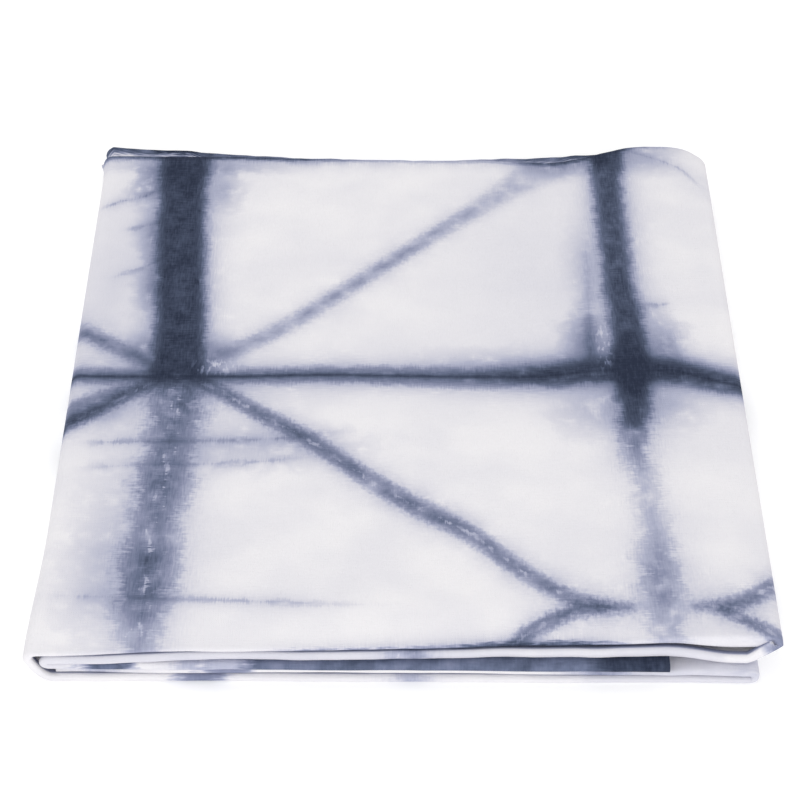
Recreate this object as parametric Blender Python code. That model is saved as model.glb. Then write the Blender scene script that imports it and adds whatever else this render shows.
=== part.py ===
"""A shibori tablecloth, folded to a flat square pack.

One cloth, in metres, +Z up, with the pack's front towards -Y and its underside on z = 0.
The cloth is first folded lengthwise into a strip of four layers. The strip is then folded back and
forth into five passes: its inner end goes left, right and left again on top, wraps down round the
left side, goes right underneath, and comes back left just above that.
"""

import math
from collections import namedtuple

import bmesh
import bpy
from mathutils import Vector

# The cloth, its folds and the air between its layers
PLY = 0.0010
STRIP_AIR = 0.00025
PASS_AIR = 0.00035
STRIP_LAYERS = 4
LAYER_STEP = PLY + STRIP_AIR
STRIP_THICKNESS = STRIP_LAYERS * PLY + (STRIP_LAYERS - 1) * STRIP_AIR
PASS_STEP = STRIP_THICKNESS + PASS_AIR

# The pack, whose front line is y = 0 until it is centred
PACK_HALF_WIDTH = 0.190
PACK_DEPTH = 0.378

# Each pass of the strip, from the top down: its place in the stack counted from the bottom, and where
# its front and back noses lie in y at the pack's left, middle and right
Pass = namedtuple("Pass", "level front back")
PASSES = {
    "top": Pass(4, (-0.0008, 0.0039, 0.0072), (0.3805, 0.3745, 0.3830)),
    "second": Pass(3, (-0.0026, 0.0006, 0.0036), (0.3945, 0.3815, 0.3900)),
    "third": Pass(2, (-0.0020, -0.0030, -0.0036), (0.3860, 0.3790, 0.3830)),
    "fourth": Pass(1, (-0.0006, -0.0014, -0.0032), (0.3820, 0.3780, 0.3810)),
    "bottom": Pass(0, (-0.0026, -0.0030, -0.0036), (0.3800, 0.3775, 0.3800)),
}

# Each crosswise fold, in the order in which the cloth runs through them: the pass before it, the pass
# after it, where its outer side lies in x, how far it bulges for its height, how square it is (2 is
# round), and its number of steps
Fold = namedtuple("Fold", "before after nose bulge squareness steps")
FOLDS = (
    Fold("third", "second", -0.1830, 1.00, 2.0, 8),
    Fold("second", "top", 0.1910, 1.00, 2.0, 8),
    Fold("top", "bottom", -0.1905, 0.92, 2.5, 12),
    Fold("bottom", "fourth", 0.1800, 1.00, 2.0, 8),
)
INNER_END = 0.1336
OUTER_END = -0.1760

# Across x, the places where each pass has a row of points
ROWS = (-0.130, -0.060, 0.010, 0.080, 0.137, 0.150, 0.163)

# The second pass sags past the inner end, where nothing lies under it
SAG = 0.0044
SAG_START = 0.137
SAG_END = 0.166

# The lengthwise folds: the front nose opens to the strip's full height and closes again over
# NOSE_RUN, and the two hems stop behind it
NOSE_RUN = 0.0075
OUTER_HEM = 0.0125
INNER_HEM = 0.0108
NOSE_STEPS = 7
NECK_STEPS = 4
OUTER_TURN_STEPS = 6
INNER_TURN_STEPS = 4

# The pack isn't quite even: it rises to the right, dips in the middle, and its back right corner is
# pressed in over the last stretch before the back noses
RISE = 0.0012
RISE_START = 0.000
RISE_END = 0.150
DIP = 0.0007
CORNER_PRESS = 0.0110
CORNER_X = 0.150
CORNER_Y = 0.357
CORNER_RUN = 0.027

CLOTH_COLOUR = (0.78, 0.78, 0.82, 1.0)
CLOTH_ROUGHNESS = 0.9


def clear_scene():
    for old in list(bpy.data.objects):
        bpy.data.objects.remove(old, do_unlink=True)


def ease(value, start, end):
    """Nought before start, one past end, and a smooth rise between."""
    share = min(max((value - start) / (end - start), 0.0), 1.0)
    return share * share * (3.0 - 2.0 * share)


def across(places, x):
    """The place of a nose at x, on the parabola through its left, middle and right places."""
    left, middle, right = places
    share = x / PACK_HALF_WIDTH
    return middle + share * (right - left) / 2 + share * share * ((left + right) / 2 - middle)


def pass_height(name, x):
    """The height of the middle of a pass of the strip."""
    height = PASSES[name].level * PASS_STEP + STRIP_THICKNESS / 2
    if name == "second":
        height -= SAG * ease(x, SAG_START, SAG_END)
    return height


# A row of points across the strip: its place along the pack, and the strip's two noses there
Station = namedtuple("Station", "x z front back")


def pass_station(name, x):
    row = PASSES[name]
    return Station(x, pass_height(name, x), across(row.front, x), across(row.back, x))


def fold_centre(fold):
    """Where the straight passes end and the fold begins."""
    side = math.copysign(1.0, fold.nose)
    rise = abs(pass_height(fold.before, fold.nose) - pass_height(fold.after, fold.nose)) / 2
    return fold.nose - side * (STRIP_THICKNESS / 2 + rise * fold.bulge)


def fold_stations(fold):
    """The strip's way round a fold, from the pass before it to the pass after it."""
    x = fold_centre(fold)
    start = pass_station(fold.before, x)
    end = pass_station(fold.after, x)
    half = (start.z - end.z) / 2
    reach = abs(half) * fold.bulge * math.copysign(1.0, fold.nose)
    stations = []
    for step in range(fold.steps + 1):
        angle = math.pi * step / fold.steps
        out = abs(math.sin(angle)) ** (2 / fold.squareness)
        up = math.copysign(abs(math.cos(angle)) ** (2 / fold.squareness), math.cos(angle))
        share = step / fold.steps
        stations.append(Station(
            x + reach * out,
            (start.z + end.z) / 2 + half * up,
            start.front + (end.front - start.front) * share,
            start.back + (end.back - start.back) * share,
        ))
    return stations


def pass_stations(name, start, end):
    """The rows of a pass strictly between two places in x, in the order in which the strip runs."""
    low, high = sorted((start, end))
    places = [x for x in ROWS if low < x < high]
    if start > end:
        places.reverse()
    return [pass_station(name, x) for x in places]


def strip_route():
    """Every row of points along the strip, from the cloth's inner end to its outer end."""
    stations = [pass_station(FOLDS[0].before, INNER_END)]
    place = INNER_END
    for fold in FOLDS:
        centre = fold_centre(fold)
        stations += pass_stations(fold.before, place, centre)
        stations += fold_stations(fold)
        place = centre
    last = FOLDS[-1].after
    stations += pass_stations(last, place, OUTER_END)
    stations.append(pass_station(last, OUTER_END))
    return stations


def sideways(line):
    """At each point of a line, the step to its right that keeps an offset line parallel to it."""
    stretches = [(b - a).normalized() for a, b in zip(line, line[1:])]
    right = [Vector((s.y, -s.x)) for s in stretches]
    before = [right[0]] + right
    after = right + [right[-1]]
    return [(a + b) / (1.0 + a.dot(b)) for a, b in zip(before, after)]


def turn(centre, radius, start, end, steps):
    """Points of a round fold about the strip's middle height, between two angles in degrees."""
    angles = [math.radians(start + (end - start) * step / steps) for step in range(steps + 1)]
    return [Vector((centre + radius * math.cos(a), radius * math.sin(a))) for a in angles]


def layer_line(front, back):
    """The middle of the cloth from hem to hem, across a strip with these front and back noses.

    The first number of a point is its place in y, and the second its height in the strip. The
    outermost layers meet in the outer turn at the back, and the two inner ones in the inner turn.
    The second and third stretches meet in the front nose, which fills the strip's height.
    """
    outer = (STRIP_LAYERS - 1) / 2 * LAYER_STEP
    inner = LAYER_STEP / 2
    middle = (front + back) / 2
    corner = back - CORNER_RUN
    front_centre = front + PLY / 2 + outer
    back_centre = back - PLY / 2 - outer
    line = [Vector((y, -outer)) for y in (front + OUTER_HEM, middle, corner)]
    line += turn(back_centre, outer, -90, 90, OUTER_TURN_STEPS)
    line += [Vector((y, outer)) for y in (corner, middle)]
    line += turn(front_centre, outer, 90, 270, NOSE_STEPS)
    for step in range(1, NECK_STEPS + 1):
        share = step / NECK_STEPS
        rise = (outer + inner) * ease(share, 0.0, 1.0)
        line.append(Vector((front_centre + NOSE_RUN * share, rise - outer)))
    line += [Vector((y, inner)) for y in (middle, corner)]
    line += turn(back_centre, inner, 90, -90, INNER_TURN_STEPS)
    line += [Vector((y, -inner)) for y in (corner, middle, front + INNER_HEM)]
    return line


def section_outline(front, back):
    """The closed outline of the cloth across the strip."""
    line = layer_line(front, back)
    steps = sideways(line)
    right = [point + step * PLY / 2 for point, step in zip(line, steps)]
    left = [point - step * PLY / 2 for point, step in zip(line, steps)]
    return right + left[::-1]


def settle(x, y, z):
    """The pack's unevenness, which grows from nothing at the underside."""
    rise = RISE * ease(x, RISE_START, RISE_END)
    dip = DIP * math.sin(math.pi * min(max(y / PACK_DEPTH, 0.0), 1.0))
    height = len(PASSES) * PASS_STEP
    press = CORNER_PRESS * ease(x, CORNER_X, PACK_HALF_WIDTH) * ease(y, CORNER_Y, PACK_DEPTH)
    return Vector((x - press, y, z * (1.0 + (rise - dip) / height)))


def folded_cloth():
    """The cloth as one closed solid: its section, set at every row of the strip's route."""
    route = strip_route()
    steps = sideways([Vector((station.x, station.z)) for station in route])
    rings = []
    for station, step in zip(route, steps):
        outline = section_outline(station.front, station.back)
        rings.append([settle(station.x + step.x * n, y, station.z + step.y * n) for y, n in outline])
    low = Vector((min(point[axis] for ring in rings for point in ring) for axis in range(3)))
    high = Vector((max(point[axis] for ring in rings for point in ring) for axis in range(3)))
    base = Vector(((low.x + high.x) / 2, (low.y + high.y) / 2, low.z))

    cloth = bmesh.new()
    loops = [[cloth.verts.new(point - base) for point in ring] for ring in rings]
    for near, far in zip(loops, loops[1:]):
        for side in range(len(near)):
            cloth.faces.new((near[side - 1], near[side], far[side], far[side - 1]))
    cloth.faces.new(loops[0])
    cloth.faces.new(loops[-1])
    bmesh.ops.recalc_face_normals(cloth, faces=cloth.faces)
    mesh = bpy.data.meshes.new("tablecloth")
    cloth.to_mesh(mesh)
    cloth.free()
    return mesh


def cloth_material():
    material = bpy.data.materials.new("dyed_cotton")
    material.use_nodes = True
    shader = material.node_tree.nodes["Principled BSDF"]
    shader.inputs["Base Color"].default_value = CLOTH_COLOUR
    shader.inputs["Roughness"].default_value = CLOTH_ROUGHNESS
    shader.inputs["Metallic"].default_value = 0.0
    return material


def build():
    clear_scene()
    collection = bpy.data.collections.new("shibori_tablecloth")
    bpy.context.scene.collection.children.link(collection)
    mesh = folded_cloth()
    mesh.shade_smooth()
    mesh.set_sharp_from_angle(angle=math.radians(35))
    mesh.materials.append(cloth_material())
    collection.objects.link(bpy.data.objects.new("tablecloth", mesh))


build()
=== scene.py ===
"""A shibori tablecloth, folded to a flat square pack and lying on a pale surface."""

import math
from collections import namedtuple

import bmesh
import bpy
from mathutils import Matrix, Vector, noise


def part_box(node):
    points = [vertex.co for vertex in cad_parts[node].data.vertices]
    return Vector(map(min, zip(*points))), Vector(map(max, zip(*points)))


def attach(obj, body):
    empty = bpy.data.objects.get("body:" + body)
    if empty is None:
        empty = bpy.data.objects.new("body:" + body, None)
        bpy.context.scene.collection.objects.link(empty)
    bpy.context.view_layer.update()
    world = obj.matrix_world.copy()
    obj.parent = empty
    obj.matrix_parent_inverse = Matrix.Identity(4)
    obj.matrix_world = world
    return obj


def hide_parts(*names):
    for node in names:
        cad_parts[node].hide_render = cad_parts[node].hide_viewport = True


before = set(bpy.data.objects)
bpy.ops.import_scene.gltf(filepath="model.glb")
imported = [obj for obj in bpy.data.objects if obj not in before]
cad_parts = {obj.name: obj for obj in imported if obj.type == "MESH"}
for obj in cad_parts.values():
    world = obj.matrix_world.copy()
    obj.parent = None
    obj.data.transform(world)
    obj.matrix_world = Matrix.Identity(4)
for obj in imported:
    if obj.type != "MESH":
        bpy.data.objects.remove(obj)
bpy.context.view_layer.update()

# The cloth
# One piece of plain-woven cotton, cut about 1.5 by 1.8 m and hemmed on all sides. It is folded
# lengthwise in half twice, to a strip of four layers, and the strip is folded crosswise into five
# passes: three lie one over the other, and the last two wrap round the left side and under them.

SHEET = 0.0006
HEM_WIDTH = 0.012
STRIP_THICKNESS = 0.00475
HALF_STRIP = STRIP_THICKNESS / 2
LAYER_STEP = (STRIP_THICKNESS - SHEET) / 3
PASS_STEP = 0.0051
PACK_HALF_WIDTH = 0.190
PACK_DEPTH = 0.378
TOP_HEIGHT = 4 * PASS_STEP + STRIP_THICKNESS

# Each pass of the strip, from the top down: its place in the stack counted from the bottom, where
# its front and back noses lie in y at the pack's left, middle and right, how far apart its rows of
# points are, and how much its noses wander
Pass = namedtuple("Pass", "level front back spacing wander")
PASSES = {
    "top": Pass(4, (-0.0008, 0.0039, 0.0072), (0.3800, 0.3752, 0.3690), 0.0040, 0.0010),
    "second": Pass(3, (-0.0026, 0.0004, 0.0014), (0.3962, 0.3807, 0.3945), 0.0032, 0.0014),
    "third": Pass(2, (-0.0020, -0.0030, -0.0036), (0.3860, 0.3790, 0.3830), 0.0090, 0.0008),
    "fourth": Pass(1, (-0.0006, -0.0014, -0.0032), (0.3820, 0.3780, 0.3810), 0.0100, 0.0008),
    "bottom": Pass(0, (-0.0026, -0.0030, -0.0036), (0.3800, 0.3775, 0.3800), 0.0100, 0.0006),
}

# Each crosswise fold, in the order in which the cloth runs through them: the passes before and after
# it, how far it reaches, how much it bulges, how square it is (2 is round), how far its lower side is
# tucked in, and its number of steps
Fold = namedtuple("Fold", "before after nose bulge squareness tuck steps")
FOLDS = (
    Fold("third", "second", -0.1830, 1.00, 2.0, 0.0000, 12),
    Fold("second", "top", 0.1915, 0.95, 2.6, 0.0115, 16),
    Fold("top", "bottom", -0.1912, 0.60, 2.8, 0.0060, 20),
    Fold("bottom", "fourth", 0.1800, 0.80, 3.2, 0.0000, 12),
)


def ease(value, start, end):
    """Nought before start, one past end, and a smooth rise between."""
    share = min(max((value - start) / (end - start), 0.0), 1.0)
    return share * share * (3.0 - 2.0 * share)


def nose_place(places, x):
    """The place of a nose at x, on the parabola through its left, middle and right places."""
    left, middle, right = places
    share = x / PACK_HALF_WIDTH
    return middle + share * (right - left) / 2 + share * share * ((left + right) / 2 - middle)


# The noses wander in long waves and short ones, which have a length, a share and a seed. The noise
# is nought at whole numbers, so it is read half-way between two.
FRONT_WAVES = ((0.060, 1.0, 0), (0.017, 0.4, 7))
BACK_WAVES = ((0.040, 1.0, 20), (0.009, 0.6, 30))
HALF_WAY = 0.5


def wander(x, waves, seed):
    """Smooth noise along the pack, added up from its waves."""
    total = 0.0
    for length, share, own_seed in waves:
        total += share * noise.noise(Vector((x / length, seed + own_seed, HALF_WAY)))
    return total


# Past the inner end there is room between the second and fourth passes: the one above sags, and the
# one below puffs up. The top pass loosens over the sag, and spreads to cover the nose behind it.
SAG = 0.0044
SAG_START = 0.130
SAG_END = 0.166
PUFF = 0.0009
PUFF_START = 0.137
PUFF_END = 0.148
BACK_SPREAD = 0.0180
BACK_SPREAD_START = 0.088
BACK_SPREAD_END = 0.158


def pass_height(name, x):
    """The height of the middle of a pass of the strip."""
    height = PASSES[name].level * PASS_STEP + HALF_STRIP
    if name == "second":
        height -= SAG * ease(x, SAG_START, SAG_END)
    if name == "fourth":
        height += PUFF * ease(x, PUFF_START, PUFF_END)
    return height


# A row of points across the strip: its place in the pack, the strip's two noses there, how thick its
# front nose is, how far its lower layers hang, and how much of the row belongs to the top pass
Row = namedtuple("Row", "x z front back nose hang top")

# The top pass is pressed thin over THIN_RUN behind its front crease, to this share of the strip's
# thickness. On the right it isn't.
THIN_NOSE = 0.45
THIN_RUN = 0.022
THIN_END = 0.100
FULL_START = 0.160


def pass_row(name, x):
    row = PASSES[name]
    front = nose_place(row.front, x) + row.wander * wander(x, FRONT_WAVES, row.level)
    back = nose_place(row.back, x) + row.wander * wander(x, BACK_WAVES, row.level)
    if name != "top":
        return Row(x, pass_height(name, x), front, back, 1.0, 0.0, 0.0)
    nose = THIN_NOSE + (1.0 - THIN_NOSE) * ease(x, THIN_END, FULL_START)
    hang = SAG * ease(x, SAG_START, SAG_END)
    back += BACK_SPREAD * ease(x, BACK_SPREAD_START, BACK_SPREAD_END)
    return Row(x, pass_height(name, x), front, back, nose, hang, 1.0)


def fold_ends(fold):
    """Where the pass before a fold ends and the pass after it begins."""
    side = math.copysign(1.0, fold.nose)
    before = pass_height(fold.before, fold.nose)
    after = pass_height(fold.after, fold.nose)
    centre = fold.nose - side * (HALF_STRIP + abs(before - after) / 2 * fold.bulge)
    tucked = centre - side * fold.tuck
    return (tucked, centre) if before < after else (centre, tucked)


# A tuck starts this share of the way down a fold, and a fold's front nose takes on the thickness of
# the next pass's over this share of the way round
TUCK_START = 0.25
NOSE_OPENS = 0.35


def fold_rows(fold):
    """The strip's way round a fold, from the pass before it to the pass after it."""
    ends = fold_ends(fold)
    side = math.copysign(1.0, fold.nose)
    start = pass_row(fold.before, ends[0])
    end = pass_row(fold.after, ends[1])
    half = (start.z - end.z) / 2
    rows = []
    for step in range(fold.steps + 1):
        share = step / fold.steps
        angle = math.pi * share
        out = abs(math.sin(angle)) ** (2 / fold.squareness)
        up = math.copysign(abs(math.cos(angle)) ** (2 / fold.squareness), math.cos(angle))
        z = (start.z + end.z) / 2 + half * up
        down = (max(start.z, end.z) - z) / abs(2 * half)
        tuck = fold.tuck * max(down - TUCK_START, 0.0) / (1.0 - TUCK_START)
        x = max(ends, key=lambda place: place * side) - side * tuck
        x += side * abs(half) * fold.bulge * out
        row = Row(x, z, *[a + (b - a) * share for a, b in zip(start[2:], end[2:])])
        opened = ease(share, 0.0, NOSE_OPENS)
        rows.append(row._replace(nose=start.nose + (end.nose - start.nose) * opened))
    return rows


def pass_rows(name, start, end):
    """The rows of a pass strictly between two places in x, in the order in which the strip runs."""
    count = round(abs(end - start) / PASSES[name].spacing)
    return [pass_row(name, start + (end - start) * step / count) for step in range(1, count)]


# Seen from above, the two upper passes are rounded off at the back right, and the top one alone at
# the back left
RIGHT_CORNER_START = 0.1675
RIGHT_CORNER = 0.0225
LEFT_CORNER_START = -0.1810
LEFT_CORNER = 0.0105


def rounded(row):
    """A row with its back nose drawn in where it lies in a rounded corner."""
    if row.x > RIGHT_CORNER_START and row.z > pass_height("third", row.x):
        past, radius = row.x - RIGHT_CORNER_START, RIGHT_CORNER
    elif row.x < LEFT_CORNER_START and row.z > pass_height("second", row.x):
        past, radius = LEFT_CORNER_START - row.x, LEFT_CORNER
    else:
        return row
    cut = radius - math.sqrt(max(radius * radius - past * past, 0.0))
    return row._replace(back=row.back - cut)


# Where the cloth's two ends lie in x
INNER_END = 0.1336
OUTER_END = -0.1760


def strip_rows():
    """Every row of points along the strip, from the cloth's inner end to its outer end."""
    rows = [pass_row(FOLDS[0].before, INNER_END)]
    place = INNER_END
    for fold in FOLDS:
        ends = fold_ends(fold)
        rows += pass_rows(fold.before, place, ends[0])
        rows += fold_rows(fold)
        place = ends[1]
    last = FOLDS[-1].after
    rows += pass_rows(last, place, OUTER_END)
    rows.append(pass_row(last, OUTER_END))
    return rows


def sideways(line):
    """At each point of a line, the step to its right that keeps an offset line parallel to it."""
    stretches = [(b - a).normalized() for a, b in zip(line, line[1:])]
    right = [Vector((s.y, -s.x)) for s in stretches]
    before = [right[0]] + right
    after = right + [right[-1]]
    return [(a + b) / (1.0 + a.dot(b)) for a, b in zip(before, after)]


def turn(centre, radius, start, end, steps, squareness=2.0):
    """Points of a fold about the strip's middle height, between two angles in degrees."""
    points = []
    for step in range(steps + 1):
        angle = math.radians(start + (end - start) * step / steps)
        out, up = math.cos(angle), math.sin(angle)
        points.append(Vector((
            centre + radius * math.copysign(abs(out) ** (2 / squareness), out),
            radius * math.copysign(abs(up) ** (2 / squareness), up),
        )))
    return points


def between(start, end, height, steps):
    """Points along a flat layer, strictly between two places in y."""
    return [Vector((start + (end - start) * step / steps, height)) for step in range(1, steps)]


def layer_height(row, y, height):
    """The height of a layer where the strip is pressed thin in front or hangs loose."""
    thin = row.nose + (1.0 - row.nose) * ease(y, row.front + HALF_STRIP, row.front + THIN_RUN)
    thickness = STRIP_THICKNESS * thin + row.hang
    return (height + HALF_STRIP) * thickness / STRIP_THICKNESS - HALF_STRIP - row.hang


# The front nose opens to the strip's height and closes again over NOSE_RUN, and the two hems stop
# behind it
NOSE_RUN = 0.0075
NOSE_SQUARENESS = 2.4
OUTER_HEM = 0.0125
INNER_HEM = 0.0108
NOSE_STEPS = 12
NECK_STEPS = 6
OUTER_TURN_STEPS = 10
INNER_TURN_STEPS = 6
TOP_LAYER_STEPS = 48
HIDDEN_LAYER_STEPS = 10


def layer_line(row):
    """The middle of the cloth from hem to hem, across the strip at one of its rows.

    The first number of a point is its place in y, and the second its height in the strip.
    """
    outer = 1.5 * LAYER_STEP
    inner = 0.5 * LAYER_STEP
    front_centre = row.front + SHEET / 2 + outer
    back_centre = row.back - SHEET / 2 - outer
    line = [Vector((row.front + place, -outer)) for place in (OUTER_HEM, OUTER_HEM + HEM_WIDTH)]
    line += between(line[-1].x, back_centre, -outer, HIDDEN_LAYER_STEPS)
    line += turn(back_centre, outer, -90, 90, OUTER_TURN_STEPS)
    line += between(back_centre, front_centre, outer, TOP_LAYER_STEPS)
    line += turn(front_centre, outer, 90, 270, NOSE_STEPS, NOSE_SQUARENESS)
    for step in range(1, NECK_STEPS + 1):
        share = step / NECK_STEPS
        rise = (outer + inner) * ease(share, 0.0, 1.0)
        line.append(Vector((front_centre + NOSE_RUN * share, rise - outer)))
    line += between(line[-1].x, back_centre, inner, HIDDEN_LAYER_STEPS)
    line += turn(back_centre, inner, 90, -90, INNER_TURN_STEPS)
    hem = row.front + INNER_HEM
    line += between(back_centre, hem + HEM_WIDTH, -inner, HIDDEN_LAYER_STEPS)
    line += [Vector((hem + HEM_WIDTH, -inner)), Vector((hem, -inner))]
    return [Vector((point.x, layer_height(row, *point))) for point in line]


def lengths(line):
    """How far along a line each of its points lies."""
    total = 0.0
    found = [0.0]
    for a, b in zip(line, line[1:]):
        total += (b - a).length
        found.append(total)
    return found


# The pack isn't quite even: it rises to the right, where its middle passes slump, dips in the middle,
# fans out a little at the back left, spreads at the front left, and lies in soft swells
RISE = 0.0012
RISE_END = 0.150
SLUMP = 0.0015
DIP = 0.0007
SWELL = 0.0006
SWELL_LENGTHS = (0.07, 0.11)
SWELL_SEED = 0.3
FAN = 0.0095
FAN_SIDES = (0.150, 0.183)
FAN_DEPTHS = (0.3700, 0.3920)
SPREAD = 0.0028
SPREAD_SIDES = (0.150, 0.190)
SPREAD_DEPTH = 0.080


def settle(x, y, z):
    """The pack's unevenness, which grows from nothing at the underside."""
    rise = RISE * ease(x, 0.0, RISE_END)
    dip = DIP * math.sin(math.pi * min(max(y / PACK_DEPTH, 0.0), 1.0))
    swell = SWELL * noise.noise(Vector((x / SWELL_LENGTHS[0], y / SWELL_LENGTHS[1], SWELL_SEED)))
    share_up = min(z / (TOP_HEIGHT - STRIP_THICKNESS), 1.0)
    slump = SLUMP * ease(x, 0.0, RISE_END) * math.sin(math.pi * share_up)
    fan = FAN * ease(-x, *FAN_SIDES) * ease(y, *FAN_DEPTHS)
    spread = SPREAD * ease(-x, *SPREAD_SIDES) * ease(-y, -SPREAD_DEPTH, 0.0)
    return Vector((x - fan - spread, y, z * (1.0 + (rise + swell - dip) / TOP_HEIGHT) - slump))


rows = [rounded(row) for row in strip_rows()]
route = [Vector((row.x, row.z)) for row in rows]
steps_aside = sideways(route)
row_lengths = lengths(route)
sections = [layer_line(row) for row in rows]
section_lengths = [lengths(section) for section in sections]

# The cloth's own coordinates, in metres: U is x on the top pass, and V is the distance back from the
# pack's front on it. Two more maps give the distances from the front and back noses, and from the hems.
top_rows = [index for index, row in enumerate(rows) if row.top == 1.0]
middle_row = min(top_rows, key=lambda index: abs(rows[index].x))
middle_section = layer_line(
    Row(x=0.0, z=0.0, front=0.0, back=PACK_DEPTH, nose=1.0, hang=0.0, top=1.0)
)
places_back = [point.x for point in middle_section]
front_nose = places_back.index(min(places_back))
back_nose = places_back.index(max(places_back))
flat_start = front_nose - NOSE_STEPS // 2
CUT_LENGTH = row_lengths[-1]

cloth_mesh = bmesh.new()
maps = [cloth_mesh.loops.layers.uv.new(name) for name in ("cloth", "folds", "hems")]
bmesh.ops.create_grid(
    cloth_mesh, x_segments=len(rows) - 1, y_segments=len(middle_section) - 1, size=0.5
)
map_places = {}
for vert in cloth_mesh.verts:
    i = round((vert.co.x + 0.5) * (len(rows) - 1))
    j = round((vert.co.y + 0.5) * (len(middle_section) - 1))
    y, height = sections[i][j]
    vert.co = settle(rows[i].x + steps_aside[i].x * height, y, rows[i].z + steps_aside[i].y * height)
    reach = section_lengths[i]
    from_middle = row_lengths[middle_row] - row_lengths[i]
    from_flat = reach[flat_start] - reach[j]
    map_places[vert] = (
        (rows[middle_row].x + from_middle, sections[i][flat_start].x + from_flat),
        (reach[front_nose] - reach[j], reach[j] - reach[back_nose]),
        (min(row_lengths[i], CUT_LENGTH - row_lengths[i]), min(reach[j], reach[-1] - reach[j])),
    )
for face in cloth_mesh.faces:
    for loop in face.loops:
        for cloth_map, place in zip(maps, map_places[loop.vert]):
            loop[cloth_map].uv = place

lowest = Vector(min(vert.co[axis] for vert in cloth_mesh.verts) for axis in range(3))
highest = Vector(max(vert.co[axis] for vert in cloth_mesh.verts) for axis in range(3))
solid_low, solid_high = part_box("tablecloth")
shift = (solid_low + solid_high) / 2 - (lowest + highest) / 2
shift.z = SHEET / 2 - lowest.z
bmesh.ops.translate(cloth_mesh, vec=shift, verts=cloth_mesh.verts)
bmesh.ops.recalc_face_normals(cloth_mesh, faces=cloth_mesh.faces)

mesh = bpy.data.meshes.new("tablecloth_fabric")
cloth_mesh.to_mesh(mesh)
cloth_mesh.free()
mesh.shade_smooth()
cloth = bpy.data.objects.new("tablecloth_fabric", mesh)
bpy.context.scene.collection.objects.link(cloth)
thickness = cloth.modifiers.new("thickness", "SOLIDIFY")
thickness.thickness = SHEET
thickness.offset = 0.0

# The cloth was folded to and fro into a packet and clamped before it was dipped, so the dye took along
# the packet's creases and bled a little way in. The marks repeat in mirror image from crease to crease.
# All of them are placed in the cloth's own coordinates, U and V, in metres.
LEFT_CREASE = -0.131
CREASE_SPAN = 0.2565
BACK_CREASE = 0.376

# Neither long crease is quite straight: these are places in V, and how far the crease lies to the
# right there. LEFT_CREASE is its place in U where that is MEAN_LEAN. The right one's lean holds between
# these two stretches of U, and the left one's elsewhere.
LEFT_LEAN = (
    (0.0, 0.0060), (0.07, 0.0068), (0.11, 0.0095), (0.17, 0.0125), (0.205, 0.0105), (0.23, 0.0100),
    (0.26, 0.0076), (0.29, 0.0055), (0.32, 0.0039), (0.376, 0.0020),
)
RIGHT_LEAN = (
    (0.0, 0.0175), (0.05, 0.0160), (0.07, 0.0170), (0.09, 0.0148), (0.11, 0.0138), (0.13, 0.0110),
    (0.15, 0.0115), (0.17, 0.0130), (0.23, 0.0137), (0.26, 0.0115), (0.32, 0.0108), (0.376, 0.0112),
)
MEAN_LEAN = 0.010
RIGHT_LEAN_STARTS = (-0.10, 0.10)
RIGHT_LEAN_ENDS = (0.18, 0.26)


def add_node(tree, kind, inputs=None, **settings):
    """A new node with its settings made and its inputs given values or joined to sockets."""
    made = tree.nodes.new(kind)
    for name, value in settings.items():
        setattr(made, name, value)
    for name, value in (inputs or {}).items():
        if isinstance(value, bpy.types.NodeSocket):
            tree.links.new(value, made.inputs[name])
        else:
            made.inputs[name].default_value = value
    return made


def calc(tree, operation, *values):
    """The result of a Math node."""
    return add_node(tree, "ShaderNodeMath", dict(enumerate(values)), operation=operation).outputs[0]


def ramp(tree, value, low, high, low_result=0.0, high_result=1.0):
    """A smooth rise from one result to another between two values."""
    inputs = {
        "Value": value,
        "From Min": low,
        "From Max": high,
        "To Min": low_result,
        "To Max": high_result,
    }
    made = add_node(tree, "ShaderNodeMapRange", inputs, interpolation_type="SMOOTHSTEP")
    return made.outputs["Result"]


def within(tree, value, rise, fall):
    """A mask that rises over one stretch of a value and falls again over another."""
    return calc(tree, "MULTIPLY", ramp(tree, value, *rise), ramp(tree, value, *reversed(fall)))


def curve(tree, value, points):
    """A smooth curve through points, level before the first and after the last."""
    (start, first), (end, last) = points[0], points[-1]
    level = (end - start) / 20
    points = [(start - level, first), *points, (end + level, last)]
    made = add_node(tree, "ShaderNodeFloatCurve", {"Value": value})
    made.mapping.use_clip = False
    made.mapping.extend = "HORIZONTAL"
    line = made.mapping.curves[0]
    line.points[0].location = points[0]
    line.points[1].location = points[-1]
    for point in points[1:-1]:
        line.points.new(*point)
    for point in line.points:
        point.handle_type = "AUTO_CLAMPED"
    made.mapping.update()
    return made.outputs["Value"]


def cloudy(tree, place, size, detail=2.0, seed=0.0):
    """Noise about nought, in clouds of this size along U and V."""
    stretched = add_node(tree, "ShaderNodeMapping", {
        "Vector": place,
        "Location": (seed, seed / 2, 0.0),
        "Scale": (1 / size[0], 1 / size[1], 1.0),
    })
    inputs = {"Vector": stretched.outputs["Vector"], "Scale": 1.0, "Detail": detail}
    made = add_node(tree, "ShaderNodeTexNoise", inputs, noise_dimensions="2D")
    return calc(tree, "SUBTRACT", made.outputs["Fac"], 0.5)


def new_group(name, inputs, outputs):
    """An empty node group, with its ends and its named sockets."""
    group = bpy.data.node_groups.new(name, "ShaderNodeTree")
    for way, sockets in (("INPUT", inputs), ("OUTPUT", outputs)):
        for socket in sockets:
            group.interface.new_socket(name=socket, in_out=way, socket_type="NodeSocketFloat")
    return group, group.nodes.new("NodeGroupInput").outputs, group.nodes.new("NodeGroupOutput").inputs


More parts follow.
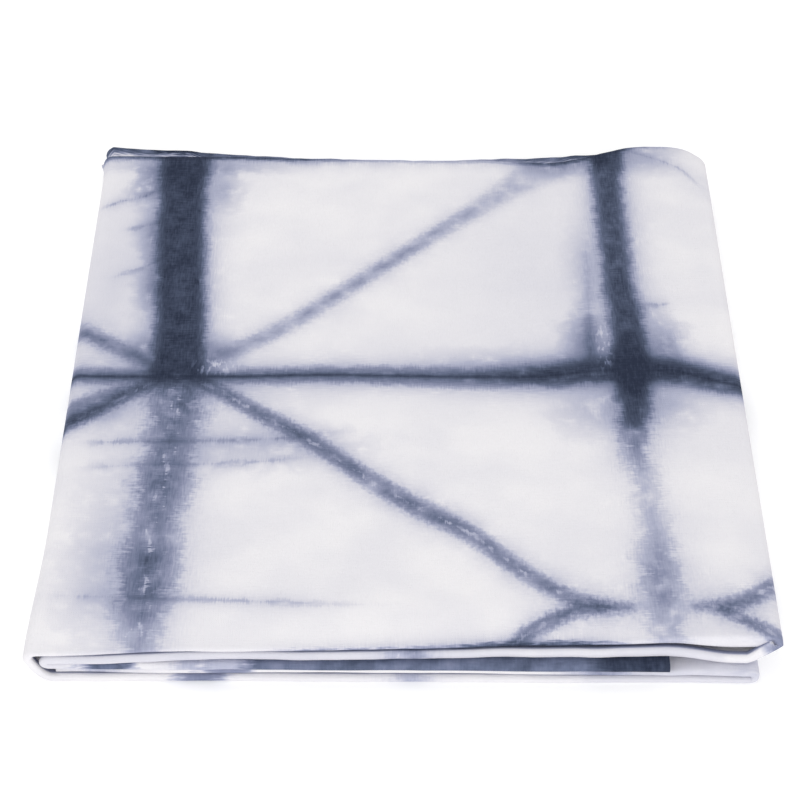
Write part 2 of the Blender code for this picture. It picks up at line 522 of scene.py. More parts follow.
# A dyed line, or a line of painted shade: dark to half its width, with soft edges, a haze that dies
# away from it, and a pale streak that comes and goes along its middle
dyed_or_shaded_line, given, result = new_group(
    "dyed_or_shaded_line",
    ("Across", "Centre", "Half Width", "Softness", "Ragged", "Dye", "Haze", "Reach", "Pale"),
    ("Undyed", "Crease"),
)
PALE_CORE = 0.0002
PALE_EDGE = 0.0020
PALE_STRAY = 0.8
CREASE_EDGE = 0.0024
offset = calc(dyed_or_shaded_line, "ABSOLUTE", calc(dyed_or_shaded_line, "SUBTRACT", given["Across"], given["Centre"]))
past = calc(dyed_or_shaded_line, "ADD", offset, given["Ragged"])
past = calc(dyed_or_shaded_line, "SUBTRACT", past, given["Half Width"])
edge = ramp(dyed_or_shaded_line, calc(dyed_or_shaded_line, "DIVIDE", past, given["Softness"]), 1.0, -1.0)
bare = calc(dyed_or_shaded_line, "SUBTRACT", 1.0, calc(dyed_or_shaded_line, "MULTIPLY", edge, given["Dye"]))
fall = calc(dyed_or_shaded_line, "DIVIDE", calc(dyed_or_shaded_line, "MAXIMUM", past, 0.0), given["Reach"])
fall = calc(dyed_or_shaded_line, "EXPONENT", calc(dyed_or_shaded_line, "MULTIPLY", fall, -1.0))
clear = calc(dyed_or_shaded_line, "SUBTRACT", 1.0, calc(dyed_or_shaded_line, "MULTIPLY", fall, given["Haze"]))
taken = calc(dyed_or_shaded_line, "SUBTRACT", 1.0, calc(dyed_or_shaded_line, "MULTIPLY", bare, clear))
streak = calc(dyed_or_shaded_line, "MULTIPLY_ADD", given["Ragged"], PALE_STRAY, offset)
pale = calc(dyed_or_shaded_line, "MULTIPLY", ramp(dyed_or_shaded_line, streak, PALE_EDGE, PALE_CORE), given["Pale"])
taken = calc(dyed_or_shaded_line, "MULTIPLY", taken, calc(dyed_or_shaded_line, "SUBTRACT", 1.0, pale))
dyed_or_shaded_line.links.new(calc(dyed_or_shaded_line, "SUBTRACT", 1.0, taken), result["Undyed"])
folded = calc(dyed_or_shaded_line, "MULTIPLY", ramp(dyed_or_shaded_line, offset, CREASE_EDGE, 0.0), given["Dye"])
dyed_or_shaded_line.links.new(folded, result["Crease"])

# A dyed patch: strongest in its middle, gone at its rim
dyed_patch, given, result = new_group(
    "dyed_patch",
    ("U", "V", "Middle U", "Middle V", "Reach U", "Reach V", "Ragged", "Dye"),
    ("Undyed", "Mask"),
)
squares = []
for axis in "UV":
    share = calc(dyed_patch, "SUBTRACT", given[axis], given["Middle " + axis])
    share = calc(dyed_patch, "DIVIDE", share, given["Reach " + axis])
    squares.append(calc(dyed_patch, "MULTIPLY", share, share))
away = calc(dyed_patch, "SQRT", calc(dyed_patch, "ADD", *squares))
mask = ramp(dyed_patch, calc(dyed_patch, "ADD", away, given["Ragged"]), 1.0, 0.0)
taken = calc(dyed_patch, "MULTIPLY", mask, given["Dye"])
dyed_patch.links.new(calc(dyed_patch, "SUBTRACT", 1.0, taken), result["Undyed"])
dyed_patch.links.new(mask, result["Mask"])

fabric = bpy.data.materials.new("shibori_cotton")
fabric.use_nodes = True
tree = fabric.node_tree
shader = tree.nodes["Principled BSDF"]

place = add_node(tree, "ShaderNodeUVMap", uv_map="cloth").outputs["UV"]
parts = add_node(tree, "ShaderNodeSeparateXYZ", {"Vector": place}).outputs
u, v = parts["X"], parts["Y"]
noses = add_node(tree, "ShaderNodeUVMap", uv_map="folds").outputs["UV"]
parts = add_node(tree, "ShaderNodeSeparateXYZ", {"Vector": noses}).outputs
from_front, from_back = parts["X"], parts["Y"]
v_folded = calc(tree, "PINGPONG", v, BACK_CREASE)

near_right = within(tree, u, RIGHT_LEAN_STARTS, RIGHT_LEAN_ENDS)
lean = add_node(tree, "ShaderNodeMix", {
    "Factor": near_right,
    "A": curve(tree, v_folded, LEFT_LEAN),
    "B": curve(tree, v_folded, RIGHT_LEAN),
}).outputs["Result"]
u_true = calc(tree, "SUBTRACT", calc(tree, "ADD", u, MEAN_LEAN - LEFT_CREASE), lean)
u_folded = calc(tree, "PINGPONG", u_true, CREASE_SPAN)
to_right = calc(tree, "SUBTRACT", CREASE_SPAN, u_folded)

# Threads of either direction carry the dye along them, and wet cloth lets it spread in clouds
weft = cloudy(tree, place, (0.0075, 0.0009), 2.0)
warp = cloudy(tree, place, (0.0009, 0.0075), 2.0, 4.0)
clouds = cloudy(tree, place, (0.014, 0.012), 4.0, 5.0)
broad_clouds = cloudy(tree, place, (0.050, 0.036), 2.0, 9.0)
mottle = cloudy(tree, place, (0.0026, 0.0024), 2.0, 3.0)


def ragged(direction, thread, cloud, fine=0.0):
    """How far an edge strays, in metres: along threads of one direction, in clouds and in mottling."""
    strayed = calc(tree, "MULTIPLY_ADD", clouds, cloud, calc(tree, "MULTIPLY", direction, thread))
    return calc(tree, "MULTIPLY_ADD", mottle, fine, strayed) if fine else strayed


edge_of_bar = ragged(weft, 0.006, 0.013)
edge_of_blotch = ragged(weft, 0.012, 0.026, 0.005)
edge_of_crossing = ragged(warp, 0.005, 0.012)
edge_of_slant = ragged(warp, 0.004, 0.007, 0.005)
soft_patches = calc(tree, "MAXIMUM", calc(tree, "MULTIPLY_ADD", clouds, 2.8, 1.0), 0.0)
threads = calc(tree, "ADD", weft, warp)
haze_patches = calc(tree, "MAXIMUM", calc(tree, "MULTIPLY_ADD", threads, 0.8, soft_patches), 0.0)

undyed_by = []
creases = []


def through(stations, part, along):
    """One of the numbers that stations hold, as a curve through them, or as it is if they all agree."""
    if len({station[part] for station in stations}) == 1:
        return stations[0][part]
    return curve(tree, along, [(station[0], station[part]) for station in stations])


def dyed_or_shaded(along, across, stations, softness, stray,
         haze=0.0, reach=0.005, patchy=0.0, limit=None, pale=0.0):
    """Adds a line of dye or of painted shade through stations: place along and across, half width,
    strength.
    """
    centre, half_width, strength = [through(stations, part, along) for part in (1, 2, 3)]
    if limit is not None:
        strength = calc(tree, "MULTIPLY", strength, limit)
    haze_here = 0.0
    if haze:
        haze_here = calc(tree, "MULTIPLY", calc(tree, "MULTIPLY", strength, haze), haze_patches)
    if patchy:
        strength = calc(tree, "MULTIPLY", strength, calc(tree, "MULTIPLY_ADD", clouds, patchy, 1.0))
    line = add_node(tree, "ShaderNodeGroup", {
        "Across": across,
        "Centre": centre,
        "Half Width": half_width,
        "Softness": softness,
        "Ragged": stray,
        "Dye": strength,
        "Haze": haze_here,
        "Reach": reach,
        "Pale": pale,
    }, node_tree=dyed_or_shaded_line)
    undyed_by.append(line.outputs["Undyed"])
    return line.outputs["Crease"]


def patch(middle, reach, strength, stray):
    """A patch about a place in U and V."""
    made = add_node(tree, "ShaderNodeGroup", {
        "U": u,
        "V": v,
        "Middle U": middle[0],
        "Middle V": middle[1],
        "Reach U": reach[0],
        "Reach V": reach[1],
        "Ragged": stray,
        "Dye": strength,
    }, node_tree=dyed_patch)
    return made.outputs


# Pale dashes along V and pale dots, which the middles of the lines keep in places
dashes = ramp(tree, cloudy(tree, place, (0.0040, 0.0110), 3.0, 2.0), 0.00, 0.16)
dots = ramp(tree, cloudy(tree, place, (0.0090, 0.0090), 4.0, 2.0), -0.10, 0.14)

# The bars and the rising crease leave out the second pass, whose back nose has stains of its own. It
# lies between these two stretches of U.
SECOND_STARTS = (0.20, 0.23)
SECOND_ENDS = (0.57, 0.60)
on_second = within(tree, u, SECOND_STARTS, SECOND_ENDS)
off_second = calc(tree, "SUBTRACT", 1.0, on_second)

# The left crease: a dark bar at the back, and a blotched one in front
left_relief = dyed_or_shaded(v_folded, u_folded, [
    (0.184, 0.0, 0.0135, 0.0), (0.194, 0.0, 0.0140, 0.88), (0.240, 0.0, 0.0132, 0.86),
    (0.300, 0.0, 0.0132, 0.86), (0.345, 0.0, 0.0128, 0.87), (0.360, 0.0, 0.0140, 0.92),
    (0.376, 0.0, 0.0140, 0.86),
], softness=0.0052, stray=edge_of_bar, haze=0.66, reach=0.0062, patchy=0.06, limit=off_second)
dyed_or_shaded(v_folded, u_folded, [
    (0.000, 0.0, 0.006, 0.26), (0.012, 0.0, 0.007, 0.30), (0.025, 0.0, 0.010, 0.40),
    (0.050, 0.0, 0.012, 0.46), (0.062, 0.0, 0.012, 0.44), (0.075, 0.0, 0.010, 0.38),
    (0.095, 0.0, 0.010, 0.42), (0.112, 0.0, 0.012, 0.46), (0.124, 0.0, 0.011, 0.42),
    (0.136, 0.0, 0.010, 0.42), (0.155, 0.0, 0.012, 0.44), (0.175, 0.0, 0.013, 0.48),
    (0.188, 0.0, 0.013, 0.50), (0.196, 0.0, 0.013, 0.0),
], softness=0.0080, stray=edge_of_blotch, haze=0.80, reach=0.0085, patchy=1.1,
    pale=calc(tree, "MULTIPLY", dashes, 0.50))

# The right crease: narrower, darkest where the others cross it, and faint in front
right_relief = dyed_or_shaded(v_folded, to_right, [
    (0.130, 0.0, 0.0050, 0.0), (0.150, 0.0, 0.0064, 0.48), (0.168, 0.0, 0.0078, 0.74),
    (0.190, 0.0, 0.0095, 0.97), (0.225, 0.0, 0.0088, 0.82), (0.300, 0.0, 0.0078, 0.74),
    (0.355, 0.0, 0.0080, 0.76), (0.376, 0.0, 0.0105, 0.84),
], softness=0.0050, stray=edge_of_bar, haze=0.60, reach=0.0062, patchy=0.2, limit=off_second)
dyed_or_shaded(v_folded, to_right, [
    (0.000, 0.0, 0.006, 0.18), (0.022, 0.0, 0.008, 0.26), (0.045, 0.0, 0.009, 0.30),
    (0.065, 0.0, 0.007, 0.24), (0.095, 0.0, 0.004, 0.20), (0.120, 0.0, 0.004, 0.28),
    (0.145, 0.0, 0.006, 0.42), (0.160, 0.0, 0.006, 0.42), (0.180, 0.0, 0.006, 0.0),
], softness=0.0070, stray=edge_of_blotch, haze=0.70, reach=0.0085, patchy=2.0)

# A streak beside it on the top pass, where the packet's edge pressed
dyed_or_shaded(v, u, [
    (0.193, 0.1060, 0.0024, 0.0), (0.200, 0.1062, 0.0024, 0.42), (0.225, 0.1070, 0.0020, 0.38),
    (0.245, 0.1080, 0.0014, 0.22), (0.285, 0.1090, 0.0010, 0.12), (0.310, 0.1090, 0.0010, 0.0),
], softness=0.0040, stray=edge_of_bar, haze=0.5, reach=0.0060, patchy=1.2)

# The crease between them, which crosses both, with a dark line where it was sharpest
DROOP = 0.008
DROOP_SIDES = (0.150, 0.200)
v_crossing = calc(tree, "MULTIPLY_ADD", ramp(tree, u, *DROOP_SIDES), DROOP, v_folded)
CROSSING = [
    (0.000, 0.1880, 0.0034, 0.60), (0.030, 0.1880, 0.0040, 0.62), (0.081, 0.1893, 0.0046, 0.62),
    (0.131, 0.1880, 0.0056, 0.58), (0.181, 0.1873, 0.0058, 0.62), (0.211, 0.1882, 0.0074, 0.68),
    (0.231, 0.1910, 0.0080, 0.70), (0.2565, 0.1920, 0.0086, 0.72),
]
crossing_relief = dyed_or_shaded(u_folded, v_crossing, CROSSING, softness=0.0045, stray=edge_of_crossing,
                       haze=0.58, reach=0.0060, patchy=0.8)
dyed_or_shaded(u_folded, v_crossing, [
    (0.140, 0.190, 0.0020, 0.0), (0.185, 0.190, 0.0050, 0.26), (0.225, 0.191, 0.0090, 0.40),
    (0.2565, 0.192, 0.0100, 0.40),
], softness=0.0090, stray=edge_of_crossing, haze=0.5, reach=0.0080, patchy=1.0)
SHARP_HALF_WIDTH = 0.0010
SHARP_DYE = 0.70
sharpest = [(x, y, SHARP_HALF_WIDTH, SHARP_DYE) for x, y, half_width, dye in CROSSING]
dyed_or_shaded(u_folded, v_crossing, sharpest, softness=0.0014, stray=ragged(warp, 0.0012, 0.0008))

# The slanting creases: up from the crossing, in a haze that fans out, and down from it. The rising
# one is fainter past the right crease, and stronger past the left one.
RIGHT_CHANGE = (0.118, 0.126)
FAINTER = 0.16
LEFT_CHANGE = (-0.145, -0.135)
STRONGER = 1.7
rising_limit = calc(tree, "MULTIPLY", ramp(tree, u, *RIGHT_CHANGE, 1.0, FAINTER), off_second)
rising_limit = calc(tree, "MULTIPLY", rising_limit, ramp(tree, u, *LEFT_CHANGE, STRONGER, 1.0))
dyed_or_shaded(u_folded, v_folded, [
    (0.000, 0.1860, 0.0030, 0.0), (0.013, 0.1960, 0.0040, 0.20), (0.035, 0.2105, 0.0044, 0.26),
    (0.051, 0.2207, 0.0046, 0.27), (0.081, 0.2445, 0.0048, 0.28), (0.131, 0.2880, 0.0046, 0.31),
    (0.160, 0.3142, 0.0054, 0.26), (0.179, 0.3312, 0.0076, 0.17), (0.203, 0.3540, 0.0120, 0.13),
    (0.225, 0.3690, 0.0140, 0.10), (0.245, 0.3780, 0.0140, 0.0),
], softness=0.0062, stray=edge_of_slant, haze=0.55, reach=0.0065, patchy=1.6, limit=rising_limit)
FALLING = [
    (0.000, 0.1900, 0.0040, 0.0), (0.016, 0.1820, 0.0044, 0.60), (0.047, 0.1600, 0.0046, 0.54),
    (0.0715, 0.1435, 0.0052, 0.50), (0.1315, 0.0953, 0.0060, 0.48), (0.160, 0.0752, 0.0058, 0.48),
    (0.180, 0.0555, 0.0052, 0.46), (0.199, 0.0398, 0.0044, 0.48), (0.2175, 0.0290, 0.0036, 0.52),
    (0.2290, 0.0268, 0.0022, 0.50), (0.241, 0.0262, 0.0012, 0.44), (0.250, 0.0262, 0.0008, 0.0),
]
falling_relief = dyed_or_shaded(u_folded, v_folded, FALLING, softness=0.0046, stray=edge_of_slant,
                      haze=0.50, reach=0.0060, patchy=1.0, pale=calc(tree, "MULTIPLY", dots, 0.50))

# At the left edge the falling one spreads out, and fades where the cloth has turned the fold
SPREAD_FADES = (-0.215, -0.200)
dyed_or_shaded(u, v, [
    (-0.200, 0.1500, 0.0100, 0.42), (-0.188, 0.1580, 0.0095, 0.44), (-0.175, 0.1665, 0.0080, 0.44),
    (-0.158, 0.1775, 0.0050, 0.34), (-0.145, 0.1840, 0.0035, 0.0),
], softness=0.0050, stray=edge_of_slant, haze=0.4, reach=0.0050, patchy=1.0,
    limit=ramp(tree, u, *SPREAD_FADES))

# How deep the creases are still pressed in
BAR_DEPTH = 0.00012
CROSSING_DEPTH = 0.00022
SLANT_DEPTH = 0.00005

# The front ends of the falling one and its mirror image, which the front nose turns under
FRONT_ENDS = (
    [(0.040, -0.010, 0.0050, 0.0), (0.047, -0.004, 0.0050, 0.44), (0.060, 0.010, 0.0048, 0.50),
     (0.075, 0.0195, 0.0042, 0.50), (0.0875, 0.0250, 0.0034, 0.50), (0.104, 0.0262, 0.0020, 0.36),
     (0.118, 0.0262, 0.0008, 0.0)],
    [(0.152, 0.0262, 0.0010, 0.0), (0.158, 0.0252, 0.0024, 0.44), (0.170, 0.0192, 0.0034, 0.48),
     (0.185, 0.0095, 0.0038, 0.48), (0.195, 0.003, 0.0040, 0.36), (0.200, 0.0, 0.0040, 0.0)],
)
for stations in FRONT_ENDS:
    front_relief = dyed_or_shaded(u, v, stations, softness=0.0034, stray=edge_of_slant, haze=0.40, reach=0.0046,
                        patchy=1.0, pale=calc(tree, "MULTIPLY", dots, 0.34))
    creases.append((front_relief, -SLANT_DEPTH))

creases += [
    (left_relief, -BAR_DEPTH),
    (right_relief, -BAR_DEPTH),
    (crossing_relief, -CROSSING_DEPTH),
    (falling_relief, -SLANT_DEPTH),
]

# Wisps of dye in the small wrinkles that the wet cloth had by chance: four places in U and V along
# each, and its strength
WISPS = (
    ((-0.190, 0.330), (-0.176, 0.336), (-0.162, 0.340), (-0.150, 0.348), 0.34),
    ((-0.174, 0.310), (-0.164, 0.312), (-0.154, 0.315), (-0.144, 0.318), 0.22),
    ((-0.180, 0.268), (-0.166, 0.273), (-0.156, 0.278), (-0.144, 0.284), 0.16),
    ((-0.186, 0.138), (-0.160, 0.139), (-0.070, 0.141), (-0.020, 0.147), 0.25),
    ((-0.186, 0.120), (-0.150, 0.122), (-0.085, 0.124), (-0.040, 0.128), 0.18),
    ((-0.190, 0.034), (-0.150, 0.033), (-0.095, 0.031), (0.010, 0.028), 0.22),
    ((0.136, 0.245), (0.143, 0.244), (0.150, 0.244), (0.158, 0.246), 0.22),
    ((0.130, 0.385), (0.150, 0.378), (0.172, 0.366), (0.192, 0.345), 0.16),
)
WISP_HALF_WIDTH = 0.0007
wisp_edge = ragged(warp, 0.005, 0.012)
for *points, strength in WISPS:
    strengths = (0.0, strength, strength, 0.0)
    stations = [(*point, WISP_HALF_WIDTH, dye) for point, dye in zip(points, strengths)]
    dyed_or_shaded(u, v, stations, softness=0.0018, stray=wisp_edge, haze=0.7, reach=0.0036, patchy=2.5)

# Clouds of dye beside the creases: their middles in U and V, how far they reach, and their strength
CLOUDS = (
    ((-0.158, 0.352), (0.020, 0.030), 0.40),
    ((-0.153, 0.305), (0.016, 0.036), 0.30),
    ((-0.150, 0.262), (0.016, 0.038), 0.32),
    ((-0.152, 0.210), (0.016, 0.022), 0.30),
    ((-0.108, 0.208), (0.022, 0.020), 0.30),
    ((-0.112, 0.345), (0.018, 0.030), 0.24),
    ((-0.160, 0.060), (0.030, 0.090), 0.15),
    ((-0.165, 0.160), (0.026, 0.024), 0.16),
    ((-0.130, 0.366), (0.070, 0.010), 0.30),
    ((-0.080, 0.136), (0.080, 0.026), 0.17),
    ((0.104, 0.214), (0.020, 0.036), 0.38),
    ((0.050, 0.196), (0.080, 0.022), 0.14),
    ((0.150, 0.212), (0.020, 0.034), 0.34),
    ((0.106, 0.275), (0.016, 0.060), 0.11),
    ((0.104, 0.162), (0.036, 0.030), 0.18),
    ((0.150, 0.165), (0.030, 0.026), 0.16),
    ((0.098, 0.366), (0.034, 0.016), 0.26),
    ((0.150, 0.372), (0.034, 0.020), 0.20),
)
cloud_edge = calc(tree, "MULTIPLY_ADD", threads, 0.2, calc(tree, "MULTIPLY", clouds, 1.4))
for middle, reach, strength in CLOUDS:
    strength_here = calc(tree, "MULTIPLY", soft_patches, strength)
    undyed_by.append(patch(middle, reach, strength_here, cloud_edge)["Undyed"])

# Broad, even washes of it, given in the same way
WASHES = (
    ((-0.174, 0.260), (0.036, 0.130), 0.09),
    ((0.080, 0.270), (0.090, 0.130), 0.05),
)
for middle, reach, strength in WASHES:
    undyed_by.append(patch(middle, reach, strength, broad_clouds)["Undyed"])

# Stains of their own on the front noses, and three faint broad marks of painted shade on them: their
# middles in U, half widths and strengths
NOSE_STAINS_AND_SHADE = (
    (0.594, 0.012, 0.80), (0.655, 0.014, 0.24), (0.780, 0.117, 0.72), (0.868, 0.026, 0.86),
    (-0.285, 0.012, 0.56), (-0.839, 0.010, 0.56), (-0.530, 0.050, 0.10), (-0.620, 0.050, 0.12),
    # Painted shade: this faint broad mark and the two faint broad ones at -0.530 and -0.620 above
    # darken the front noses of the second, bottom and fourth passes
    (0.400, 0.180, 0.09),
)
for middle, half_width, strength in NOSE_STAINS_AND_SHADE:
    dyed_or_shaded(v_folded, u, [
        (0.000, middle, half_width, strength), (0.010, middle, half_width, strength),
        (0.030, middle, half_width, 0.0),
    ], softness=0.008, stray=ragged(weft, 0.012, 0.020), patchy=0.6)

# Painted shade in the crevice just under the front noses of the top, second and bottom passes, then
# the dye along the top pass's front nose itself, a dark line along its back nose, and the dye that ran
# round the back of the pass below
# Painted shade: a dark line in the crevice just under the front noses, where shade falls between one
# pass and the next
dyed_or_shaded(calc(tree, "ABSOLUTE", u), from_front, [
    (0.000, -0.0052, 0.0014, 0.50), (0.560, -0.0052, 0.0014, 0.40), (0.570, -0.0052, 0.0014, 0.0),
], softness=0.0008, stray=0.0)
dyed_or_shaded(u, from_front, [
    (-0.090, -0.0020, 0.0014, 0.0), (-0.050, -0.0020, 0.0016, 0.48), (0.020, -0.0016, 0.0020, 0.64),
    (0.045, -0.0014, 0.0026, 0.82), (0.085, -0.0014, 0.0026, 0.80), (0.110, -0.0018, 0.0016, 0.48),
    (0.135, -0.0020, 0.0012, 0.0),
], softness=0.0014, stray=ragged(weft, 0.004, 0.004), haze=0.4, reach=0.0025, patchy=1.0)
dyed_or_shaded(u, from_back, [
    (-0.200, 0.0028, 0.0016, 0.0), (-0.186, 0.0028, 0.0016, 0.62), (-0.170, 0.0030, 0.0017, 0.70),
    (-0.100, 0.0032, 0.0018, 0.74), (-0.050, 0.0030, 0.0014, 0.54), (-0.010, 0.0028, 0.0010, 0.28),
    (0.050, 0.0028, 0.0010, 0.24), (0.080, 0.0032, 0.0016, 0.66), (0.130, 0.0032, 0.0018, 0.72),
    (0.150, 0.0014, 0.0022, 0.70), (0.170, 0.0010, 0.0018, 0.54), (0.188, 0.0010, 0.0012, 0.0),
], softness=0.0018, stray=ragged(weft, 0.004, 0.004), haze=0.55, reach=0.0045, patchy=1.2)

# The last of them is a soft band with a sharp line in it: places in U, and strengths
SECOND_BACK = [
    (0.205, 0.0), (0.225, 0.46), (0.238, 0.90), (0.262, 0.92), (0.278, 0.84), (0.300, 0.76),
    (0.325, 0.52), (0.345, 0.32), (0.400, 0.30), (0.440, 0.48), (0.470, 0.66), (0.500, 0.80),
    (0.511, 0.98), (0.538, 0.98), (0.550, 0.90), (0.572, 0.84), (0.600, 0.0),
]
dyed_or_shaded(u, from_back, [(x, 0.0040, 0.0120, dye) for x, dye in SECOND_BACK], softness=0.0050,
     stray=ragged(weft, 0.010, 0.010), patchy=1.0)
dyed_or_shaded(u, from_back, [(x, 0.0030, 0.0008, dye * 0.7) for x, dye in SECOND_BACK], softness=0.0010,
     stray=ragged(weft, 0.004, 0.004), patchy=1.2)

# All the marks together: the dye, and the painted shade in the crevices and on the front noses
undyed = undyed_by[0]
for part in undyed_by[1:]:
    undyed = calc(tree, "MULTIPLY", undyed, part)
dye = calc(tree, "SUBTRACT", 1.0, undyed)

# Flecks that stayed pale, most of them by the junctions
fleck_noise = ramp(tree, cloudy(tree, place, (0.0022, 0.0060), 3.0, 7.0), 0.00, 0.18)
FLECKED = (((0.1145, 0.214), (0.007, 0.030)), ((-0.108, 0.196), (0.018, 0.010)))
FLECKED_ELSEWHERE = 0.05
FLECK_PALENESS = 0.60
fleck_places = FLECKED_ELSEWHERE
for middle, reach in FLECKED:
    fleck_places = calc(tree, "ADD", patch(middle, reach, 0.0, 0.0)["Mask"], fleck_places)
flecks = calc(tree, "MULTIPLY", fleck_noise, calc(tree, "MINIMUM", fleck_places, 1.0))
dye = calc(tree, "MULTIPLY", dye, calc(tree, "MULTIPLY_ADD", flecks, -FLECK_PALENESS, 1.0))

# A faint wash over the rest, and unevenness from thread to thread
WASH_LEAST = 0.006
WASH_MOST = 0.048
THREAD_UNEVENNESS = 0.08
MOTTLE_UNEVENNESS = 0.05
wash_clouds = calc(tree, "MULTIPLY_ADD", clouds, 0.10, broad_clouds)
wash = ramp(tree, wash_clouds, -0.26, 0.26, WASH_LEAST, WASH_MOST)
dye = calc(tree, "ADD", dye, calc(tree, "MULTIPLY", wash, calc(tree, "SUBTRACT", 1.0, dye)))
uneven = calc(tree, "MULTIPLY", mottle, MOTTLE_UNEVENNESS)
uneven = calc(tree, "MULTIPLY_ADD", threads, THREAD_UNEVENNESS, uneven)
dye = calc(tree, "MULTIPLY_ADD", dye, uneven, dye)


def paint(red, green, blue):
    """A colour as a shader takes it, from one that is read off a screen in steps of 255."""
    parts = [((value / 255 + 0.055) / 1.055) ** 2.4 for value in (red, green, blue)]
    return (*parts, 1.0)


# Undyed cotton, and the dye from its palest wash to its darkest, by its strength; the painted shade
# in the crevices and on the front noses takes these colours too
COTTON = paint(236, 234, 236)
DYE_AND_PAINTED_SHADE_COLOURS = (
    (0.10, paint(215, 214, 222)),
    (0.30, paint(173, 176, 197)),
    (0.50, paint(137, 142, 168)),
    (0.70, paint(100, 109, 135)),
    (0.85, paint(70, 79, 101)),
    (1.00, paint(36, 44, 64)),
)
shades = add_node(tree, "ShaderNodeValToRGB", {"Fac": dye})
shades.color_ramp.elements[0].color = COTTON
shades.color_ramp.elements[1].color = DYE_AND_PAINTED_SHADE_COLOURS[-1][1]
for strength, colour in DYE_AND_PAINTED_SHADE_COLOURS[:-1]:
    shades.color_ramp.elements.new(strength).color = colour
tree.links.new(shades.outputs["Color"], shader.inputs["Base Color"])
shader.inputs["Roughness"].default_value = 0.92
shader.inputs["Specular IOR Level"].default_value = 0.2

# A plain weave of slightly uneven threads, two of them to WEAVE_REPEAT, over the wrinkles that the
# folding left, and the hems: two turns of the cloth, held by a row of stitches
WEAVE_REPEAT = 0.0012
WEAVE_HEIGHT = 0.00005
THREAD_HEIGHT = 0.00022
HEM_STEP = 0.0003
HEM_EDGE = 0.0006
STITCH_LINE = 0.0100
STITCH_HALF_LENGTH = 0.0015
STITCH_CORE = 0.0002
STITCH_EDGE = 0.0005
STITCH_DEPTH = 0.0001
waves = [calc(tree, "SINE", calc(tree, "MULTIPLY", way, math.tau / WEAVE_REPEAT)) for way in (u, v)]
relief = calc(tree, "MULTIPLY", calc(tree, "MULTIPLY", *waves), WEAVE_HEIGHT)
relief = calc(tree, "MULTIPLY_ADD", threads, THREAD_HEIGHT, relief)
for crease, height in creases:
    relief = calc(tree, "MULTIPLY_ADD", crease, height, relief)
edges = add_node(tree, "ShaderNodeUVMap", uv_map="hems").outputs["UV"]
parts = add_node(tree, "ShaderNodeSeparateXYZ", {"Vector": edges}).outputs
for from_edge, along_edge in ((parts["X"], v), (parts["Y"], u)):
    hem = ramp(tree, from_edge, HEM_WIDTH + HEM_EDGE, HEM_WIDTH)
    relief = calc(tree, "MULTIPLY_ADD", hem, HEM_STEP, relief)
    aside = calc(tree, "ABSOLUTE", calc(tree, "SUBTRACT", from_edge, STITCH_LINE))
    seam = ramp(tree, aside, STITCH_EDGE, STITCH_CORE)
    from_end = calc(tree, "PINGPONG", along_edge, STITCH_HALF_LENGTH)
    stitch = calc(tree, "MULTIPLY", seam, ramp(tree, from_end, STITCH_CORE, STITCH_EDGE))
    relief = calc(tree, "MULTIPLY_ADD", stitch, -STITCH_DEPTH, relief)
bump = add_node(tree, "ShaderNodeBump", {"Height": relief, "Strength": 1.0, "Distance": 1.0})
tree.links.new(bump.outputs["Normal"], shader.inputs["Normal"])
cloth.data.materials.append(fabric)

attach(cloth, "root")
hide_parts("tablecloth")

# The studio
# A plain white ground with no edge in sight, lit a little from below as product photographs are, and
# soft light from all round.

GROUND_SIZE = 12.0
GROUND_GLOW = 0.15
ground_mesh = bmesh.new()
bmesh.ops.create_grid(ground_mesh, x_segments=1, y_segments=1, size=GROUND_SIZE / 2)
mesh = bpy.data.meshes.new("ground")
ground_mesh.to_mesh(mesh)
ground_mesh.free()
ground = bpy.data.objects.new("ground", mesh)
bpy.context.scene.collection.objects.link(ground)
paper = bpy.data.materials.new("white_paper")
paper.use_nodes = True
shader = paper.node_tree.nodes["Principled BSDF"]
shader.inputs["Base Color"].default_value = (0.95, 0.95, 0.95, 1.0)
shader.inputs["Roughness"].default_value = 1.0
shader.inputs["Emission Color"].default_value = (1.0, 1.0, 1.0, 1.0)
shader.inputs["Emission Strength"].default_value = GROUND_GLOW
ground.data.materials.append(paper)

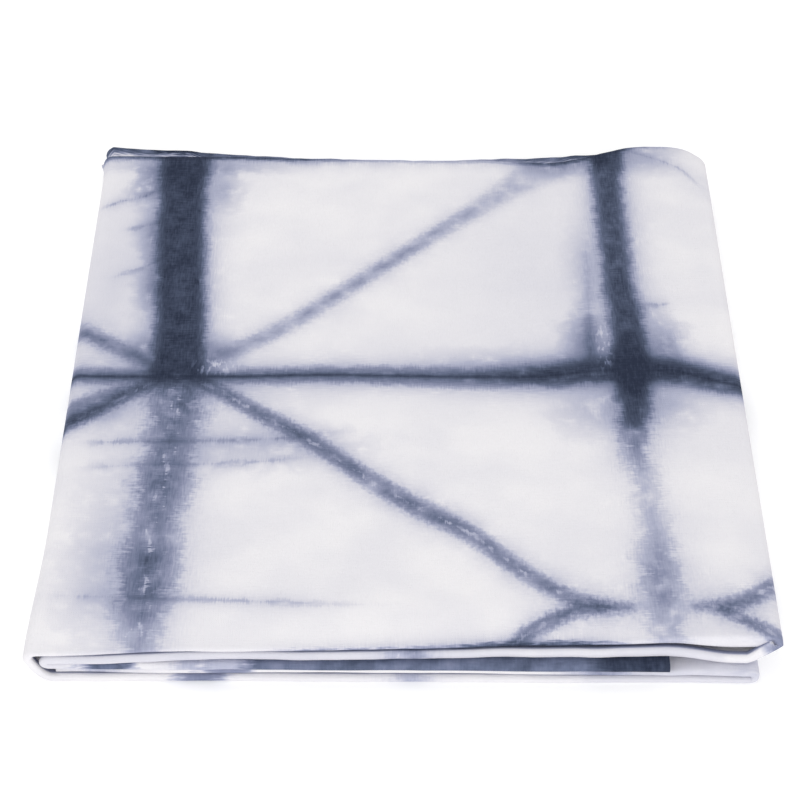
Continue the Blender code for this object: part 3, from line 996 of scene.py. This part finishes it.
world = bpy.data.worlds.new("studio")
bpy.context.scene.world = world
world.use_nodes = True
world.node_tree.nodes["Background"].inputs["Color"].default_value = (1.0, 1.0, 1.0, 1.0)
world.node_tree.nodes["Background"].inputs["Strength"].default_value = 0.83


def softbox(name, place, size, power):
    """A square lamp that looks at the pack."""
    lamp = bpy.data.lights.new(name, "AREA")
    lamp.shape = "SQUARE"
    lamp.size = size
    lamp.energy = power
    made = bpy.data.objects.new(name, lamp)
    bpy.context.scene.collection.objects.link(made)
    made.location = place
    made.rotation_euler = (-Vector(place)).to_track_quat("-Z", "Y").to_euler()


softbox("front_softbox", (0.3, -2.0, 0.9), 1.4, 14.0)
softbox("top_softbox", (-0.7, 0.6, 2.0), 1.6, 8.0)

# The camera, as the photo was taken: from the front and 48 degrees up, through a long lens
CAMERA_ELEVATION = math.radians(47.9)
CAMERA_DISTANCE = 0.9508
FOCAL_PIXELS = 1894
IMAGE_PIXELS = 800
SENSOR = 36.0
FRONT_EDGE_PIXEL = (403.5, 651.0)
FRONT_EDGE_HEIGHT = 0.0245

camera = bpy.data.objects.new("camera", bpy.data.cameras.new("camera"))
bpy.context.scene.collection.objects.link(camera)
bpy.context.scene.camera = camera
camera.data.sensor_width = SENSOR
camera.data.lens = FOCAL_PIXELS / IMAGE_PIXELS * SENSOR
camera.data.clip_start = 0.01
ahead = Vector((0, math.cos(CAMERA_ELEVATION), -math.sin(CAMERA_ELEVATION)))
down = Vector((0, -math.sin(CAMERA_ELEVATION), -math.cos(CAMERA_ELEVATION)))
right = Vector((1, 0, 0))
edge_right, edge_down = [
    (pixel - IMAGE_PIXELS / 2) / FOCAL_PIXELS * CAMERA_DISTANCE for pixel in FRONT_EDGE_PIXEL
]
front_edge = Vector((0, shift.y, FRONT_EDGE_HEIGHT))
camera.location = front_edge - ahead * CAMERA_DISTANCE - down * edge_down - right * edge_right
camera.rotation_euler = (math.pi / 2 - CAMERA_ELEVATION, 0, 0)

bpy.context.scene.view_settings.view_transform = "Standard"
bpy.context.scene.view_settings.look = "None"
